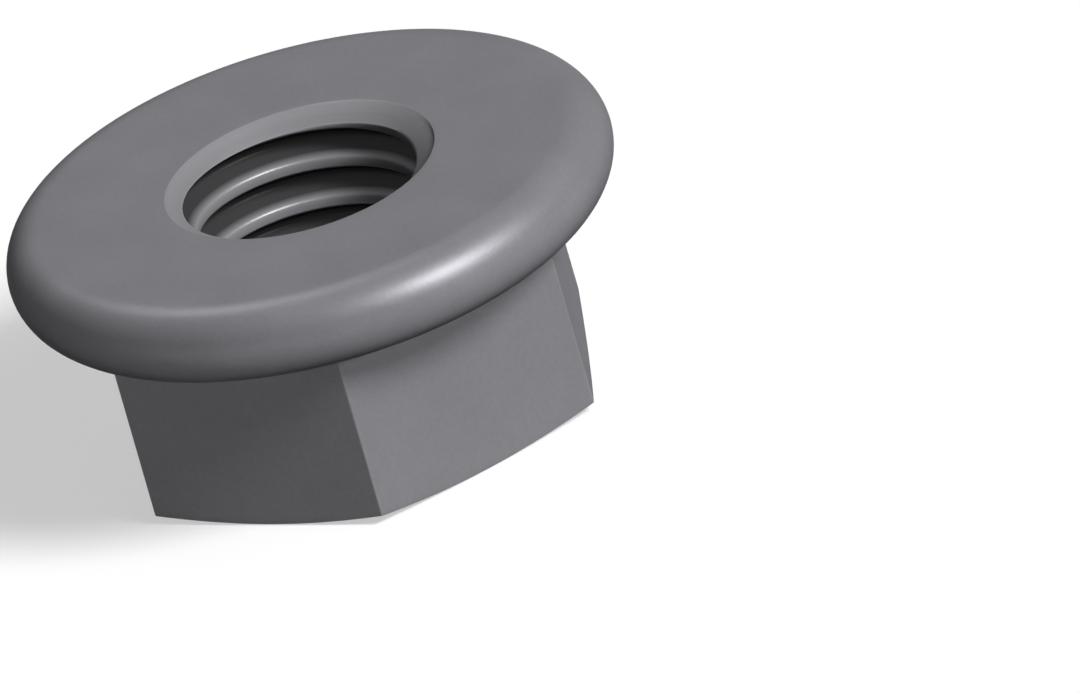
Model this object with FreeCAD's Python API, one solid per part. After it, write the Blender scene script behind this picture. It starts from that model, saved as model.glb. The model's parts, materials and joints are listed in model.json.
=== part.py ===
"""Hexagon flange nut, M8 coarse, forged and tapped in one piece.

The nut stands on its hexagon end with the flange uppermost. The origin is the centre of the end face,
+Z runs up the thread axis through the flange, and +X is square to one of the wrench flats.
Lengths are millimetres and angles are degrees.
"""

import FreeCAD, Part
import os
from math import cos, hypot, radians, sin, sqrt, tan

# Driving dimensions
THREAD_DIAMETER = 8.0
THREAD_PITCH = 1.25
NUT_HEIGHT = 8.0
ACROSS_FLATS = 13.0
FLANGE_DIAMETER = 17.9
RIM_THICKNESS = 2.4
FLANGE_SLOPE = 20.0
ROOT_FILLET = 0.3
HEX_CHAMFER_SLOPE = 15.0
HEX_CHAMFER_INSET = 0.05
COUNTERSINK_ANGLE = 120.0

# How near a point must lie to a surface to count as on it
TOLERANCE = 0.001

# The metric thread form: an internal thread is cut to 5/8 of the height of its sharp triangle
thread_triangle = THREAD_PITCH * sqrt(3) / 2
thread_depth = thread_triangle * 5 / 8

# The bore is drawn at the thread's minor diameter, and the countersinks open to its major diameter
thread_radius = THREAD_DIAMETER / 2
bore_radius = thread_radius - thread_depth
countersink_depth = thread_depth / tan(radians(COUNTERSINK_ANGLE / 2))

# The wrench hexagon
HEX_SIDES = 6
SIDE_ANGLE = 360 / HEX_SIDES
inscribed_radius = ACROSS_FLATS / 2
corner_radius = inscribed_radius / cos(radians(SIDE_ANGLE / 2))

# The flange: its rim is a full round, which runs tangent into the bearing face and into the sloping back
flange_radius = FLANGE_DIAMETER / 2
rim_radius = RIM_THICKNESS / 2
rim_level = NUT_HEIGHT - rim_radius
rim_centre_radius = flange_radius - rim_radius

# Clear of everything on the nut, for forms that are run long and then trimmed
outside_radius = flange_radius + corner_radius
above_nut = NUT_HEIGHT + outside_radius


def point(radius, level):
    """A point of a turned profile. Profiles lie in the XZ plane, so that seams run up the middle of a flat."""
    return FreeCAD.Vector(radius, 0, level)


def line(start, end):
    """A straight edge of a turned profile."""
    return Part.LineSegment(start, end).toShape()


def turned(edges):
    """The solid that a closed profile sweeps in one turn about the thread axis."""
    face = Part.Face(Part.Wire(edges))
    return face.revolve(FreeCAD.Vector(0, 0, 0), FreeCAD.Vector(0, 0, 1), 360)


def turned_polygon(points):
    """The turned solid of a profile with straight sides only."""
    return turned(Part.makePolygon(points + points[:1]).Edges)


def on_rim(angle):
    """A point of the rim's round, by its angle above the rim's widest level."""
    radius = rim_centre_radius + rim_radius * cos(radians(angle))
    return point(radius, rim_level + rim_radius * sin(radians(angle)))


def rim_end():
    """Where the rim's round runs into the sloping back."""
    return on_rim(FLANGE_SLOPE - 90)


def back_level(radius):
    """The level of the flange's sloping back, which falls from the rim's round towards the thread axis."""
    return rim_end().z - (rim_end().x - radius) * tan(radians(FLANGE_SLOPE))


def side_direction(sides):
    """The level direction this many sides of the hexagon round from +X: square to a flat at whole numbers."""
    angle = radians(sides * SIDE_ANGLE)
    return FreeCAD.Vector(cos(angle), sin(angle), 0)


def chamfer_envelope():
    """The turned form that trims the hexagon's end corners: a cone that opens upwards, then a cylinder."""
    end_radius = inscribed_radius - HEX_CHAMFER_INSET
    cone_level = (outside_radius - end_radius) * tan(radians(HEX_CHAMFER_SLOPE))
    return turned_polygon(
        [
            point(0, 0),
            point(end_radius, 0),
            point(outside_radius, cone_level),
            point(outside_radius, above_nut),
            point(0, above_nut),
        ]
    )


def hexagon():
    """The wrench hexagon, from the end face up into the flange, with its end corners chamfered."""
    corners = [side_direction(side + 0.5) * corner_radius for side in range(HEX_SIDES)]
    outline = Part.Face(Part.makePolygon(corners + corners[:1]))
    prism = outline.extrude(FreeCAD.Vector(0, 0, rim_level))
    return prism.common(chamfer_envelope())


def flange():
    """The round flange: a turned disc with a full-round rim and a sloping back, which ends in the hexagon."""
    axis_top = point(0, NUT_HEIGHT)
    rim_start = on_rim(90)
    back_end = point(thread_radius, back_level(thread_radius))
    axis_foot = point(0, back_end.z)
    return turned(
        [
            line(axis_top, rim_start),
            Part.Arc(rim_start, on_rim(0), rim_end()).toShape(),
            line(rim_end(), back_end),
            line(back_end, axis_foot),
            line(axis_foot, axis_top),
        ]
    )


def wide_back():
    """A block whose underside is the flange's sloping back, run out past the rim and the hexagon's corners."""
    return turned_polygon(
        [
            point(0, back_level(0)),
            point(outside_radius, back_level(outside_radius)),
            point(outside_radius, above_nut),
            point(0, above_nut),
        ]
    )


def is_root(edge):
    """Whether an edge is where a wrench flat runs into the flange's back."""
    for share in (0, 0.5, 1):
        spot = edge.valueAt(edge.FirstParameter + share * (edge.LastParameter - edge.FirstParameter))
        flat_distance = max(spot.dot(side_direction(side)) for side in range(HEX_SIDES))
        above_back = spot.z - back_level(hypot(spot.x, spot.y))
        if abs(flat_distance - inscribed_radius) > TOLERANCE or abs(above_back) > TOLERANCE:
            return False
    return True


def filleted_root():
    """The hexagon and the flange's back about it as far as the rim, with a fillet along each flat's root."""
    blank = hexagon().fuse(wide_back())
    filleted = blank.makeFillet(ROOT_FILLET, [edge for edge in blank.Edges if is_root(edge)])
    return filleted.common(Part.makeCylinder(rim_end().x, rim_level))


def bore():
    """What the tap drill and the two countersinks take away, run past both faces."""
    overrun = countersink_depth
    mouth_radius = thread_radius + overrun * tan(radians(COUNTERSINK_ANGLE / 2))
    return turned_polygon(
        [
            point(0, -overrun),
            point(mouth_radius, -overrun),
            point(bore_radius, countersink_depth),
            point(bore_radius, NUT_HEIGHT - countersink_depth),
            point(mouth_radius, NUT_HEIGHT + overrun),
            point(0, NUT_HEIGHT + overrun),
        ]
    )


def flange_nut():
    """The whole nut: flange and hexagon joined at a filleted root, then bored and countersunk."""
    forging = flange().fuse([hexagon(), filleted_root()]).removeSplitter()
    return forging.cut(bore())


os.makedirs("parts", exist_ok=True)
nut = flange_nut()
nut.exportStep("parts/flange_nut.step")
print(
    f"flange_nut: solids {len(nut.Solids)}, valid {nut.isValid()}, faces {len(nut.Faces)},",
    f"volume {nut.Volume:.2f} mm3, height {nut.BoundBox.ZLength:.3f} mm",
)
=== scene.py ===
"""The look of an M8 hexagon flange nut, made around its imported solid.

One mesh stands for the whole nut. It is a closed grid of columns, each at its own angle about the thread
axis, and rows that run round the nut's section. In the bore the rows climb with the thread.
Lengths in the shape code are millimetres, and become metres when the mesh is made. The camera, the floor and
the wall round it are placed in metres. Angles are degrees.
"""

import json

import bmesh
import bpy
import numpy as np
from mathutils import Matrix, Vector


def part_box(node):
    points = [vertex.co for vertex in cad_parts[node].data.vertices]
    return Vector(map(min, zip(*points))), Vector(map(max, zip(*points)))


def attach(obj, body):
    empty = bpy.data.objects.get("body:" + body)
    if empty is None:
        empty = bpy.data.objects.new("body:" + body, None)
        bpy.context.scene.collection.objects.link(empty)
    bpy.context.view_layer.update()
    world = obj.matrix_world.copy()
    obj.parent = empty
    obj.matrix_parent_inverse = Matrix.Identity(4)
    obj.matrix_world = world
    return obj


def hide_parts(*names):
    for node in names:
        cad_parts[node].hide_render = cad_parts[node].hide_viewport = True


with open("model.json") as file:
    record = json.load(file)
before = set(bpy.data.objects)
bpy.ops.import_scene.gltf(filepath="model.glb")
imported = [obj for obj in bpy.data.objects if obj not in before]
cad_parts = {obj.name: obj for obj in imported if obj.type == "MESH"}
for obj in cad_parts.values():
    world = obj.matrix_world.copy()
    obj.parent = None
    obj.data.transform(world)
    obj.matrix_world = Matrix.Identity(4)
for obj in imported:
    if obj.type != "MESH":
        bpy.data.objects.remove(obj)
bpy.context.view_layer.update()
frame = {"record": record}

MM = 0.001
NODE = "flange_nut"
node_low, node_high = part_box(NODE)
mounts = {mount["name"]: mount for mount in frame["record"]["mounts"]}

# Sizes that the frame gives
NUT_HEIGHT = (node_high.z - node_low.z) / MM
FLANGE_RADIUS = node_high.x / MM
FLAT_DISTANCE = mounts["wrench_flat_a"]["pos_m"][0] / MM
BORE_RADIUS = mounts["thread"]["dims"]["r_mm"]

# The solid's other sizes
RIM_RADIUS = 1.2
BACK_SLOPE = 20.0
ROOT_FILLET = 0.3
CHAMFER_SLOPE = 15.0
CHAMFER_RADIUS = 6.45
MOUTH_RADIUS = 4.0
COUNTERSINK_SLOPE = 30.0

# The thread: right-hand, with crests at the bore's radius and a root just short of the countersinks' mouths.
# Its crest level is that of the middle of a crest on +X.
THREAD_PITCH = 1.25
THREAD_ROOT_RADIUS = 3.97
CREST_HALF = THREAD_PITCH / 8
FLANK_SLOPE = 30.0
CREST_LEVEL = 6.1315
CREST_ROUND = 0.04

# Edge breaks that a forged and tapped nut has
HEX_EDGE_ROUND = 0.06
CHAMFER_EDGE_ROUND = 0.04
END_EDGE_ROUND = 0.1
MOUTH_EDGE_ROUND = 0.04

# The grid's columns: a step apart, and closer by each corner of the hexagon, from the support angle on
SIDES = 6
SIDE_ANGLE = 360.0 / SIDES
HALF_SIDE = SIDE_ANGLE / 2
COLUMN_STEP = 1.0
SUPPORT_ANGLE = 0.5

# The grid's steps round each curve, and its rows along each straight stretch as shares of its length
RIM_STEPS = 32
FILLET_STEPS = 6
MOUTH_STEPS = 3
CHAMFER_STEPS = 4
END_STEPS = 2
FACE_ROWS = (0.05, 0.25, 0.5, 0.75, 0.95)
BACK_ROWS = (0.33, 0.67)
FLAT_ROWS = (0.03, 0.33, 0.67, 0.97)
CHAMFER_ROWS = (0.1, 0.9)
END_ROWS = (0.05, 0.35, 0.65, 0.95)
CONE_ROWS = (1 / 3, 2 / 3)

# How often the root fillet's ball is corrected, and the margin that counts the column at which a corner's
# rounding starts as part of it
BALL_CORRECTIONS = 8
ROUND_MARGIN = 1.0001

# Where a countersink meets the thread: how far down the cone that is looked for, as a share of its depth, at
# how many places, and over how many columns to each side it is spread
MEETING_REACH = 1.2
MEETING_PLACES = 400
MEETING_SPREAD = 5

# The angle over which an edge is shaded as a crisp one
SHARP_ANGLE = 35.0

# How deep into the bore the painted shade in the thread's groove starts, and how deep it is full
GROOVE_SHADE_START = 0.1
GROOVE_SHADE_FULL = 0.8

# Outward bends, in radians a millimetre, at which the edge mask starts and is full
SOFT_BEND = 3.0
SHARP_BEND = 12.0


def sin(angle):
    return np.sin(np.radians(angle))


def cos(angle):
    return np.cos(np.radians(angle))


def tan(angle):
    return np.tan(np.radians(angle))


RIM_LEVEL = NUT_HEIGHT - RIM_RADIUS
RIM_CENTRE = FLANGE_RADIUS - RIM_RADIUS
RIM_END_ANGLE = BACK_SLOPE - 90.0
RIM_END_RADIUS = RIM_CENTRE + RIM_RADIUS * cos(RIM_END_ANGLE)
RIM_END_LEVEL = RIM_LEVEL + RIM_RADIUS * sin(RIM_END_ANGLE)
COUNTERSINK_DEPTH = (MOUTH_RADIUS - BORE_RADIUS) * tan(COUNTERSINK_SLOPE)


def back_level(radius):
    """The level of the flange's sloping back."""
    return RIM_END_LEVEL - (RIM_END_RADIUS - radius) * tan(BACK_SLOPE)


def between(start, end, angle, share):
    """A direction part of the way round from start to end, which are this angle apart, in radians."""
    return (np.sin((1 - share) * angle) * start + np.sin(share * angle) * end) / np.sin(angle)


def section_point(radius, level, count):
    """One point of the section, the same at every column, or at each column's own radius and level."""
    return np.stack([np.broadcast_to(radius, count), np.broadcast_to(level, count)], axis=-1)


def straight_rows(start, end, shares):
    """Rows at these shares of the straight stretch from start to end."""
    return [start + (end - start) * share for share in shares]


def rounded_corner(before, corner, after, radius, steps):
    """Rows that round a corner of the section, from the side towards before to the side towards after."""
    arm_before = (before - corner) / np.linalg.norm(before - corner, axis=-1, keepdims=True)
    arm_after = (after - corner) / np.linalg.norm(after - corner, axis=-1, keepdims=True)
    half = np.arccos(np.sum(arm_before * arm_after, axis=-1, keepdims=True)) / 2
    middle = (arm_before + arm_after) / np.linalg.norm(arm_before + arm_after, axis=-1, keepdims=True)
    centre = corner + middle * radius / np.sin(half)
    start = corner + arm_before * radius / np.tan(half) - centre
    end = corner + arm_after * radius / np.tan(half) - centre
    turn = np.pi - 2 * half
    return [centre + between(start, end, turn, step / steps) for step in range(steps + 1)]


def column_angles():
    """Each column's angle about the axis, and its angle from the middle of its own wrench flat."""
    rounding = HALF_SIDE - corner_round_angle()
    near_corner = [HALF_SIDE - SUPPORT_ANGLE, rounding, (rounding + HALF_SIDE) / 2]
    steps = int(HALF_SIDE / COLUMN_STEP) - 1
    middle = [step * COLUMN_STEP for step in range(-steps, steps + 1)]
    local = [-angle for angle in reversed(near_corner)] + middle + near_corner + [HALF_SIDE]
    turned = [side * SIDE_ANGLE + angle for side in range(SIDES) for angle in local]
    return np.array(turned), np.array(local * SIDES)


def corner_round_angle():
    """How far from a hexagon corner, seen from the axis, the rounding of its edge meets the flat."""
    tangent = (FLAT_DISTANCE - HEX_EDGE_ROUND) * tan(HALF_SIDE) / FLAT_DISTANCE
    return HALF_SIDE - np.degrees(np.arctan(tangent))


def hexagon_radius(local):
    """The wrench hexagon's distance from the axis, with its upright edges rounded."""
    from_corner = HALF_SIDE - np.abs(local)
    centre = (FLAT_DISTANCE - HEX_EDGE_ROUND) / cos(HALF_SIDE)
    across = centre * sin(from_corner)
    along = np.sqrt(np.maximum(HEX_EDGE_ROUND**2 - across**2, 0))
    is_round = from_corner < corner_round_angle() * ROUND_MARGIN
    return np.where(is_round, centre * cos(from_corner) + along, FLAT_DISTANCE / cos(local))


def root_fillet(local, share):
    """The fillet between a flat, at share 0, and the flange's back, at share 1, in each column's own plane.

    A ball of the fillet's radius rolls along the flat and the back. Its place is found by repeated
    correction, so that the point lies at the column's angle.
    """
    ball_x = FLAT_DISTANCE + ROOT_FILLET
    ball_y = FLAT_DISTANCE * tan(local)
    for _ in range(BALL_CORRECTIONS):
        ball_radius = np.hypot(ball_x, ball_y)
        ball_level = back_level(ball_radius) - ROOT_FILLET / cos(BACK_SLOPE)
        to_flat = np.stack([np.ones_like(local), 0 * local, 0 * local])
        to_back = np.stack(
            [
                sin(BACK_SLOPE) * ball_x / ball_radius,
                sin(BACK_SLOPE) * ball_y / ball_radius,
                -cos(BACK_SLOPE) * np.ones_like(local),
            ]
        )
        angle = np.arccos(to_back[0])
        away = between(to_flat, to_back, angle, share)
        x = ball_x - ROOT_FILLET * away[0]
        y = ball_y - ROOT_FILLET * away[1]
        ball_y = ball_y + x * tan(local) - y
    rounding = FLAT_DISTANCE / cos(local) - hexagon_radius(local)
    return np.stack([np.hypot(x, y) - rounding * (1 - share), ball_level - ROOT_FILLET * away[2]], axis=-1)


def flange_rows(local, climb):
    """The rows from the upper countersink over the flange to where its root fillets end on the flats."""
    count = len(local)
    cone = section_point(BORE_RADIUS, NUT_HEIGHT - COUNTERSINK_DEPTH, count)
    mouth = section_point(MOUTH_RADIUS, NUT_HEIGHT, count)
    face_edge = section_point(RIM_CENTRE, NUT_HEIGHT, count)
    mouth_rows = rounded_corner(cone, mouth, face_edge, MOUTH_EDGE_ROUND, MOUTH_STEPS)
    rows = countersink_rows(climb, mouth_rows[0][:, 1]) + mouth_rows
    rows += straight_rows(rows[-1], face_edge, FACE_ROWS)

    for angle in np.linspace(90.0, RIM_END_ANGLE, RIM_STEPS + 1):
        radius = RIM_CENTRE + RIM_RADIUS * cos(angle)
        rows.append(section_point(radius, RIM_LEVEL + RIM_RADIUS * sin(angle), count))

    fillet = [root_fillet(local, share) for share in np.linspace(1.0, 0.0, FILLET_STEPS + 1)]
    return rows + straight_rows(rows[-1], fillet[0], BACK_ROWS) + fillet


def hexagon_rows(local, climb, root):
    """The rows from the root fillets' end down the flats and over the end face to the lower countersink."""
    count = len(local)
    radius = hexagon_radius(local)
    chamfer_edge = section_point(radius, (radius - CHAMFER_RADIUS) * tan(CHAMFER_SLOPE), count)
    end_edge = section_point(CHAMFER_RADIUS, 0.0, count)
    mouth = section_point(MOUTH_RADIUS, 0.0, count)
    cone = section_point(BORE_RADIUS, COUNTERSINK_DEPTH, count)

    chamfer_rows = rounded_corner(root, chamfer_edge, end_edge, CHAMFER_EDGE_ROUND, CHAMFER_STEPS)
    end_rows = rounded_corner(chamfer_edge, end_edge, mouth, END_EDGE_ROUND, END_STEPS)
    mouth_rows = rounded_corner(end_edge, mouth, cone, MOUTH_EDGE_ROUND, MOUTH_STEPS)
    rows = straight_rows(root, chamfer_rows[0], FLAT_ROWS) + chamfer_rows
    rows += straight_rows(chamfer_rows[-1], end_rows[0], CHAMFER_ROWS) + end_rows
    rows += straight_rows(end_rows[-1], mouth_rows[0], END_ROWS) + mouth_rows
    return rows + countersink_rows(climb, mouth_rows[-1][:, 1])[::-1]


def smooth_max(first, second, width):
    """The larger of two, with the kink where they cross rounded over this width."""
    overlap = np.maximum(width - np.abs(first - second), 0) / width
    return np.maximum(first, second) + overlap**2 * width / 4


def thread_radius(rise):
    """The thread's distance from the axis, by the height above the middle of a crest."""
    from_crest = np.abs((rise + THREAD_PITCH / 2) % THREAD_PITCH - THREAD_PITCH / 2)
    flank = BORE_RADIUS + (from_crest - CREST_HALF) / tan(FLANK_SLOPE)
    crest = smooth_max(flank, BORE_RADIUS, 2 * CREST_ROUND)
    return -smooth_max(-crest, -THREAD_ROOT_RADIUS, 2 * CREST_ROUND)


def countersink_radius(level):
    """The two countersinks' distance from the axis."""
    depth = np.minimum(level, NUT_HEIGHT - level)
    return MOUTH_RADIUS - depth / tan(COUNTERSINK_SLOPE)


def thread_offsets():
    """The heights above a crest's middle at which one turn of the thread has its rows."""
    flank_end = CREST_HALF + (THREAD_ROOT_RADIUS - BORE_RADIUS) * tan(FLANK_SLOPE)
    flank_third = (flank_end - CREST_HALF) / 3
    upper = [
        CREST_HALF - CREST_ROUND,
        CREST_HALF,
        CREST_HALF + CREST_ROUND,
        CREST_HALF + flank_third,
        CREST_HALF + 2 * flank_third,
        flank_end - CREST_ROUND,
        flank_end,
        flank_end + CREST_ROUND,
    ]
    return np.array([-offset for offset in reversed(upper)] + [0.0] + upper + [THREAD_PITCH / 2])


def bore_wall(level, climb):
    """The bore's distance from the axis: thread or countersink, whichever lies further out."""
    return smooth_max(thread_radius(level - climb), countersink_radius(level), CREST_ROUND)


def thread_end(climb, mouth):
    """Each column's level where the countersink with this mouth level meets the thread."""
    inward = np.where(mouth > NUT_HEIGHT / 2, -1.0, 1.0)
    depth = np.linspace(0.0, MEETING_REACH * COUNTERSINK_DEPTH, MEETING_PLACES)
    level = mouth[:, None] + inward[:, None] * depth[None, :]
    excess = thread_radius(level - climb[:, None]) - countersink_radius(level)
    after = np.argmax(excess > 0, axis=1)
    column = np.arange(len(climb))
    before_excess, after_excess = excess[column, after - 1], excess[column, after]
    share = before_excess / (before_excess - after_excess)
    meeting = level[column, after - 1] + share * (level[column, after] - level[column, after - 1])

    # Where a flank runs into the cone in line with it, the meeting jumps, so it is spread over some columns
    beside = range(-MEETING_SPREAD, MEETING_SPREAD + 1)
    return np.mean([np.roll(meeting, columns) for columns in beside], axis=0)


def countersink_rows(climb, mouth):
    """Rows of one countersink, from just inside the thread to the mouth, which they leave out."""
    edge = thread_end(climb, mouth)
    beside = np.sign(mouth - edge) * np.minimum(CREST_ROUND, np.abs(mouth - edge) / 2)
    wall_start = edge + beside
    levels = [edge - beside, edge, wall_start] + straight_rows(wall_start, mouth, CONE_ROWS)
    return [np.stack([bore_wall(level, climb), level], axis=-1) for level in levels]


def bore_rows(climb, low, high):
    """The thread's levels and radii, rows climbing with the thread, and how many rows one turn has.

    Rows that would pass a column's lowest or highest level are held there.
    """
    offsets = thread_offsets()
    first = int(np.floor((low.min() - climb[0]) / THREAD_PITCH - 0.5))
    last = int(np.ceil((high.max() - climb[0]) / THREAD_PITCH - 0.5))
    turns = np.arange(first, last + 1) * THREAD_PITCH
    rises = (turns[:, None] + offsets[None, :]).ravel()
    level = np.clip(climb[:, None] + rises[None, :], low[:, None], high[:, None])
    return bore_wall(level, climb[:, None]), level, len(offsets)


def grid_faces(here, there):
    """The faces between each column's vertices, by number, and the next column's, without shrunk sides."""
    corners = np.stack([here[:, 1:], there[:, 1:], there[:, :-1], here[:, :-1]], axis=-1).reshape(-1, 4)
    faces = []
    for face in corners.tolist():
        ring = [number for place, number in enumerate(face) if number != face[place - 1]]
        if len(set(ring)) > 2:
            faces.append(ring)
    return faces


def nut_grid():
    """The nut's vertices, in metres, and its faces, as lists of vertex numbers."""
    angles, local = column_angles()
    climb = CREST_LEVEL + THREAD_PITCH * angles / 360.0
    flange = flange_rows(local, climb)
    outside = np.stack(flange + hexagon_rows(local, climb, flange[-1]), axis=1)
    count, outside_count = outside.shape[:2]
    low, high = outside[:, -1, 1], outside[:, 0, 1]
    radius, level, per_turn = bore_rows(climb, low, high)

    outside_number = np.arange(count * outside_count).reshape(count, outside_count)
    bore_number = outside_number.size + np.arange(radius.size).reshape(radius.shape)
    bore_number = np.where(level <= low[:, None], outside_number[:, -1:], bore_number)
    bore_number = np.where(level >= high[:, None], outside_number[:, :1], bore_number)

    # After one turn the thread has climbed by one pitch, so the rows meet those of the next turn up
    next_bore = np.roll(bore_number, -1, axis=0)
    next_bore[-1] = np.append(bore_number[0, per_turn:], np.repeat(bore_number[0, -1], per_turn))
    here = np.concatenate([outside_number, bore_number], axis=1)
    there = np.concatenate([np.roll(outside_number, -1, axis=0), next_bore], axis=1)
    faces = grid_faces(here, there)

    radii = np.concatenate([outside[:, :, 0].ravel(), radius.ravel()])
    levels = np.concatenate([outside[:, :, 1].ravel(), level.ravel()])
    turned = np.concatenate([np.repeat(angles, outside_count), np.repeat(angles, radius.shape[1])])
    points = np.stack([radii * cos(turned), radii * sin(turned), levels], axis=-1) * MM
    used = sorted({number for face in faces for number in face})
    renumbered = {number: place for place, number in enumerate(used)}
    return points[used], [[renumbered[number] for number in face] for face in faces]


def edge_mask(mesh):
    """For each vertex, 1 where the surface bends outwards as an edge break does, and 0 where it is flat."""
    form = bmesh.new()
    form.from_mesh(mesh)
    form.faces.ensure_lookup_table()
    centres = [face.calc_center_median() for face in form.faces]
    bend = np.zeros(len(form.verts))
    for edge in form.edges:
        one, other = edge.link_faces
        sharpness = edge.calc_face_angle_signed() / ((centres[one.index] - centres[other.index]).length / MM)
        for vertex in edge.verts:
            bend[vertex.index] = max(bend[vertex.index], sharpness)
    form.free()
    return np.clip((bend - SOFT_BEND) / (SHARP_BEND - SOFT_BEND), 0.0, 1.0)


def bore_masks(points):
    """For each vertex, whether it is cut, in the bore and countersinks, and how much painted shade its
    groove gets.
    """
    radius = np.hypot(points[:, 0], points[:, 1]) / MM
    level = points[:, 2] / MM
    depth = np.minimum(level, NUT_HEIGHT - level)
    share = np.clip((depth - GROOVE_SHADE_START) / (GROOVE_SHADE_FULL - GROOVE_SHADE_START), 0.0, 1.0)
    groove_shade = np.clip((radius - BORE_RADIUS) / (THREAD_ROOT_RADIUS - BORE_RADIUS), 0.0, 1.0)
    return radius < MOUTH_RADIUS, groove_shade * share**2 * (3 - 2 * share)


def add_mask(mesh, name, values):
    """A value for each vertex, which the material reads by name."""
    mask = mesh.attributes.new(name, "FLOAT", "POINT")
    mask.data.foreach_set("value", np.asarray(values, dtype=np.float32))


def make_nut():
    """The nut's mesh object, smooth but for its sharp edges, with the masks that its material reads."""
    points, faces = nut_grid()
    mesh = bpy.data.meshes.new("nut_body")
    mesh.from_pydata(points.tolist(), [], faces)
    mesh.shade_smooth()
    mesh.set_sharp_from_angle(angle=np.radians(SHARP_ANGLE))
    cut, groove_shade = bore_masks(points)
    add_mask(mesh, "cut", cut)
    add_mask(mesh, "groove_shade", groove_shade)
    add_mask(mesh, "edge", edge_mask(mesh))
    nut = bpy.data.objects.new("nut_body", mesh)
    bpy.context.scene.collection.objects.link(nut)
    return nut


# The camera: a view without perspective, as in the photograph, in its frame of 1080 by 693 pixels
PHOTO_WIDTH = 1080
PHOTO_HEIGHT = 693
PIXELS_PER_MM = 34.92
CAMERA_AZIMUTH = 3.65
CAMERA_ELEVATION = 25.6
CAMERA_ROLL = 16.13
FACE_CENTRE_PIXEL = (299.6, 169.4)
CAMERA_DISTANCE = 0.25
CLIP_START = 0.001


def make_camera():
    """The camera, placed so that the bearing face's centre falls on its pixel."""
    back = Vector(
        (
            sin(CAMERA_AZIMUTH) * cos(CAMERA_ELEVATION),
            -cos(CAMERA_AZIMUTH) * cos(CAMERA_ELEVATION),
            sin(CAMERA_ELEVATION),
        )
    )
    level_right = Vector((cos(CAMERA_AZIMUTH), sin(CAMERA_AZIMUTH), 0.0))
    level_up = back.cross(level_right)
    right = level_right * cos(CAMERA_ROLL) - level_up * sin(CAMERA_ROLL)
    up = level_right * sin(CAMERA_ROLL) + level_up * cos(CAMERA_ROLL)
    aside = (FACE_CENTRE_PIXEL[0] - PHOTO_WIDTH / 2) / PIXELS_PER_MM * MM
    above = (PHOTO_HEIGHT / 2 - FACE_CENTRE_PIXEL[1]) / PIXELS_PER_MM * MM
    face_centre = Vector((0.0, 0.0, node_high.z))
    place = face_centre - right * aside - up * above + back * CAMERA_DISTANCE

    data = bpy.data.cameras.new("camera")
    data.type = "ORTHO"
    data.ortho_scale = PHOTO_WIDTH / PIXELS_PER_MM * MM
    data.clip_start = CLIP_START
    camera = bpy.data.objects.new("camera", data)
    turn = Matrix((right, up, back)).transposed()
    camera.matrix_world = Matrix.Translation(place) @ turn.to_4x4()
    bpy.context.scene.collection.objects.link(camera)
    bpy.context.scene.camera = camera


# The steel: a dull grey coat outside, a cut surface in the bore with painted shade that darkens it into the
# thread's groove, and edges rubbed smoother and painted brighter as a highlight
COAT_DARK = (0.197, 0.194, 0.209, 1.0)
COAT_LIGHT = (0.224, 0.221, 0.237, 1.0)
CUT_COLOUR = (0.248, 0.246, 0.26, 1.0)
# Painted shade: the thread's groove is darkened deeper in the bore, where shade falls
GROOVE_SHADE_COLOUR = (0.045, 0.044, 0.046, 1.0)
# Painted highlight: outward edges are made brighter in colour, besides being rubbed smoother
RUBBED_HIGHLIGHT_COLOUR = (0.3, 0.298, 0.315, 1.0)

# The groove mask's value from which the painted groove shade is whole, and how far the edges are rubbed and
# painted bright
GROOVE_SHADE_WHOLE = 0.4
RUBBED_HIGHLIGHT_LEAST = 0.2
RUBBED_HIGHLIGHT_MOST = 0.6

# Its gloss comes from the metallic share alone, and the edge sheen is what grazing angles keep of it
METALLIC = 0.32
SPECULAR_LEVEL = 0.0
EDGE_SHEEN = 0.15
ROUGHNESS = 0.42
ROUGHNESS_SPREAD = 0.02
RUBBED_POLISH = 0.06

# Its relief and mottle, as noise with so many spots a millimetre along each axis. The rings' first axis runs
# out from the thread axis.
GRAIN = {"stretch": (7.0, 7.0, 7.0), "detail": 3.0}
CLOUDS = {"stretch": (0.5, 0.5, 0.5), "detail": 3.0}
RINGS = {"stretch": (13.0, 0.3, 0.3), "detail": 2.0}
STREAKS = {"stretch": (9.0, 9.0, 0.5), "detail": 2.0}
NOISE_LOW = 0.3
NOISE_HIGH = 0.7
BUMP_HEIGHT = 0.0015 * MM

# How upright the normal is where the rings start and are full, and where the streaks do
RINGS_START = 0.98
RINGS_FULL = 0.999
STREAKS_START = 0.1
STREAKS_FULL = 0.02


def grey(level):
    return (level, level, level, 1.0)


def add_node(tree, kind, inputs, **settings):
    """A node with its settings, and its inputs linked to a socket or set to a value."""
    node = tree.nodes.new(kind)
    for name, value in settings.items():
        setattr(node, name, value)
    for name, value in inputs.items():
        if isinstance(value, bpy.types.NodeSocket):
            tree.links.new(value, node.inputs[name])
        else:
            node.inputs[name].default_value = value
    return node


def add_math(tree, operation, first, second=0.0):
    return add_node(tree, "ShaderNodeMath", {0: first, 1: second}, operation=operation).outputs[0]


def add_range(tree, value, low, high, to_low=0.0, to_high=1.0):
    """A value between low and high, spread to run between two others, and held at them beyond."""
    inputs = {"Value": value, "From Min": low, "From Max": high, "To Min": to_low, "To Max": to_high}
    return add_node(tree, "ShaderNodeMapRange", inputs).outputs["Result"]


def add_blend(tree, share, first, second):
    """A colour between two others."""
    inputs = {"Factor": share, "A": first, "B": second}
    return add_node(tree, "ShaderNodeMix", inputs, data_type="RGBA").outputs["Result"]


def add_noise(tree, place, stretch, detail):
    """Noise from 0 to 1 about the object. Stretch gives its spots a millimetre along each axis."""
    scaled = add_node(tree, "ShaderNodeVectorMath", {0: place, 1: stretch}, operation="MULTIPLY").outputs[0]
    noise = add_node(tree, "ShaderNodeTexNoise", {"Vector": scaled, "Scale": 1.0, "Detail": detail})
    return add_range(tree, noise.outputs["Fac"], NOISE_LOW, NOISE_HIGH)


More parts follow.
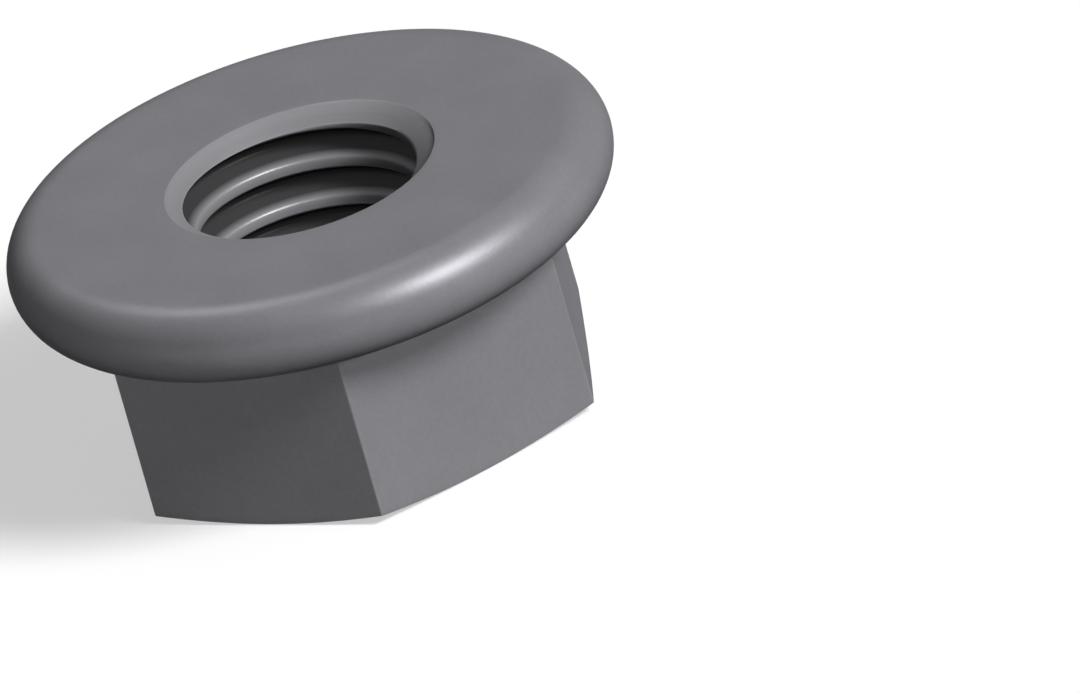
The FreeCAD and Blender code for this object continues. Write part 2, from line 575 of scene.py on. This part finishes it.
def add_places(tree):
    """Places in millimetres, the same by distance from the axis, and how upright the normal is."""
    coordinates = add_node(tree, "ShaderNodeTexCoord", {})
    scale = {"Vector": coordinates.outputs["Object"], "Scale": 1 / MM}
    place = add_node(tree, "ShaderNodeVectorMath", scale, operation="SCALE").outputs[0]
    parts = add_node(tree, "ShaderNodeSeparateXYZ", {0: place}).outputs
    flat_place = add_node(tree, "ShaderNodeCombineXYZ", {0: parts[0], 1: parts[1]}).outputs[0]
    radius = add_node(tree, "ShaderNodeVectorMath", {0: flat_place}, operation="LENGTH").outputs["Value"]
    round_place = add_node(tree, "ShaderNodeCombineXYZ", {0: radius, 1: parts[0], 2: parts[1]}).outputs[0]
    normal = add_node(tree, "ShaderNodeSeparateXYZ", {0: coordinates.outputs["Normal"]}).outputs[2]
    return place, round_place, add_math(tree, "ABSOLUTE", normal)


def add_mask_value(tree, name):
    """The value of one of the mesh's masks."""
    return add_node(tree, "ShaderNodeAttribute", {}, attribute_name=name).outputs["Fac"]


def add_relief(tree, places, grain, cut):
    """The normal over the grain, with rings on level faces and in the bore, and streaks on the flats."""
    place, round_place, upright = places
    turned = add_math(tree, "MAXIMUM", add_range(tree, upright, RINGS_START, RINGS_FULL), cut)
    flat = add_range(tree, upright, STREAKS_START, STREAKS_FULL)
    drawn = add_math(tree, "MULTIPLY", flat, add_range(tree, cut, 1.0, 0.0))
    rings = add_math(tree, "MULTIPLY", add_noise(tree, round_place, **RINGS), turned)
    streaks = add_math(tree, "MULTIPLY", add_noise(tree, place, **STREAKS), drawn)
    height = add_math(tree, "ADD", add_math(tree, "ADD", grain, rings), streaks)
    return add_node(tree, "ShaderNodeBump", {"Height": height, "Distance": BUMP_HEIGHT}).outputs["Normal"]


def add_colour(tree, mottle, cut, rubbed_highlight):
    """The colour of coat, cut surface, painted shade in the groove, and rubbed edges with a painted
    highlight.
    """
    coat = add_blend(tree, mottle, COAT_DARK, COAT_LIGHT)
    # Painted shade in the groove, full from the groove mask's whole value on
    depth = add_range(tree, add_mask_value(tree, "groove_shade"), 0.0, GROOVE_SHADE_WHOLE)
    cut_with_painted_shade = add_blend(tree, depth, CUT_COLOUR, GROOVE_SHADE_COLOUR)
    return add_blend(tree, rubbed_highlight, add_blend(tree, cut, coat, cut_with_painted_shade), RUBBED_HIGHLIGHT_COLOUR)


def make_steel():
    """One material for the nut: a coat of fine grain with the tools' marks, a brighter cut bore with painted
    shade in its groove, and painted highlights on rubbed edges.
    """
    material = bpy.data.materials.new("steel")
    material.use_nodes = True
    tree = material.node_tree
    shader = tree.nodes["Principled BSDF"]

    places = add_places(tree)
    grain = add_noise(tree, places[0], **GRAIN)
    clouds = add_noise(tree, places[0], **CLOUDS)
    mottle = add_math(tree, "MULTIPLY", add_math(tree, "ADD", grain, clouds), 0.5)
    cut = add_mask_value(tree, "cut")
    # Outward edges get a painted highlight in their colour, and are rubbed a little smoother
    rubbed_highlight_share = add_range(tree, clouds, 0.0, 1.0, RUBBED_HIGHLIGHT_LEAST, RUBBED_HIGHLIGHT_MOST)
    rubbed_highlight = add_math(tree, "MULTIPLY", add_mask_value(tree, "edge"), rubbed_highlight_share)
    rough = add_range(tree, clouds, 0.0, 1.0, ROUGHNESS - ROUGHNESS_SPREAD, ROUGHNESS + ROUGHNESS_SPREAD)
    rough = add_math(tree, "SUBTRACT", rough, add_math(tree, "MULTIPLY", rubbed_highlight, RUBBED_POLISH))

    tree.links.new(add_relief(tree, places, grain, cut), shader.inputs["Normal"])
    tree.links.new(add_colour(tree, mottle, cut, rubbed_highlight), shader.inputs["Base Color"])
    tree.links.new(rough, shader.inputs["Roughness"])
    shader.inputs["Metallic"].default_value = METALLIC
    shader.inputs["Specular IOR Level"].default_value = SPECULAR_LEVEL
    shader.inputs["Specular Tint"].default_value = grey(EDGE_SHEEN)
    return material


# The floor: its colour and glow where it is seen, also in reflections, and its colour as it lights the nut
FLOOR_REACH = 3.0
FLOOR_DROP = 0.02 * MM
FLOOR_COLOUR = 0.6
FLOOR_GLOW = 0.29
FLOOR_BOUNCE = 0.03

# The wall far round it, which only glows
BACKDROP_HEIGHT = 0.2
BACKDROP_SIDES = 64
BACKDROP_COLOUR = 0.0
BACKDROP_GLOW = 1.0


def seen_directly(tree):
    """A socket that is 1 for the camera and for what is seen in or through a surface, and 0 for lighting."""
    path = add_node(tree, "ShaderNodeLightPath", {}).outputs
    mirrored = add_math(tree, "MAXIMUM", path["Is Glossy Ray"], path["Is Transmission Ray"])
    return add_math(tree, "MAXIMUM", path["Is Camera Ray"], mirrored)


def stage_object(name, corners, faces, colour_seen, colour_lit, glow_seen):
    """A part of the stage, with one colour where it is seen and another where it only lights the nut."""
    mesh = bpy.data.meshes.new(name)
    mesh.from_pydata(corners, [], faces)
    stage = bpy.data.objects.new(name, mesh)
    bpy.context.scene.collection.objects.link(stage)

    material = bpy.data.materials.new(name)
    material.use_nodes = True
    tree = material.node_tree
    tree.nodes.clear()
    seen = seen_directly(tree)
    colour = add_blend(tree, seen, grey(colour_lit), grey(colour_seen))
    diffuse = add_node(tree, "ShaderNodeBsdfDiffuse", {"Color": colour}).outputs[0]
    glow = {"Strength": add_math(tree, "MULTIPLY", seen, glow_seen)}
    emission = add_node(tree, "ShaderNodeEmission", glow).outputs[0]
    both = add_node(tree, "ShaderNodeAddShader", {0: diffuse, 1: emission}).outputs[0]
    add_node(tree, "ShaderNodeOutputMaterial", {"Surface": both})
    mesh.materials.append(material)


def make_stage():
    """A plain white floor, which keeps the nut's shadow, and a low white wall far round it."""
    reach = FLOOR_REACH
    corners = [(-reach, -reach), (reach, -reach), (reach, reach), (-reach, reach)]
    floor = [(x, y, -FLOOR_DROP) for x, y in corners]
    stage_object("floor", floor, [(0, 1, 2, 3)], FLOOR_COLOUR, FLOOR_BOUNCE, FLOOR_GLOW)

    count = BACKDROP_SIDES
    turns = np.linspace(0, 360, count, endpoint=False)
    ring = [(reach * cos(angle), reach * sin(angle)) for angle in turns]
    wall = [(x, y, z) for z in (-BACKDROP_HEIGHT, BACKDROP_HEIGHT) for x, y in ring]
    pairs = [(side, (side + 1) % count) for side in range(count)]
    sides = [(here, there, there + count, here + count) for here, there in pairs]
    stage_object("backdrop", wall, sides, BACKDROP_COLOUR, BACKDROP_COLOUR, BACKDROP_GLOW)


# Lamps: where each stands as seen from the nut, how wide it looks, how bright it makes a white surface that
# faces it, and whether it casts shadows. The key lamp alone does, and the fill lamp lightens them.
KEY = {"azimuth": -39.0, "elevation": 41.0, "width": 18.0, "level": 1.0, "shadow": True}
FILL = {"azimuth": -34.0, "elevation": 41.0, "width": 38.0, "level": 0.5, "shadow": False}
BACK = {"azimuth": 112.0, "elevation": 56.0, "width": 20.0, "level": 0.2, "shadow": False}
WORLD_LEVEL = 0.06


def make_lamp(name, azimuth, elevation, width, level, shadow):
    """A far lamp, whose light comes from one direction, spread over the lamp's width."""
    data = bpy.data.lights.new(name, "SUN")
    data.angle = np.radians(width)
    data.energy = level * np.pi
    data.use_shadow = shadow
    lamp = bpy.data.objects.new(name, data)
    out = Vector((cos(azimuth) * cos(elevation), sin(azimuth) * cos(elevation), sin(elevation)))
    lamp.location = out
    lamp.rotation_euler = out.to_track_quat("Z", "Y").to_euler()
    bpy.context.scene.collection.objects.link(lamp)


def make_lights():
    """The three lamps, and a faint even light from the world."""
    make_lamp("key_lamp", **KEY)
    make_lamp("fill_lamp", **FILL)
    make_lamp("back_lamp", **BACK)
    world = bpy.data.worlds.new("world")
    world.use_nodes = True
    background = world.node_tree.nodes["Background"]
    background.inputs["Color"].default_value = grey(1.0)
    background.inputs["Strength"].default_value = WORLD_LEVEL
    bpy.context.scene.world = world


nut = make_nut()
nut.data.materials.append(make_steel())
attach(nut, "root")
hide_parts(NODE)
make_stage()
make_lights()
make_camera()
bpy.context.scene.view_settings.view_transform = "Standard"
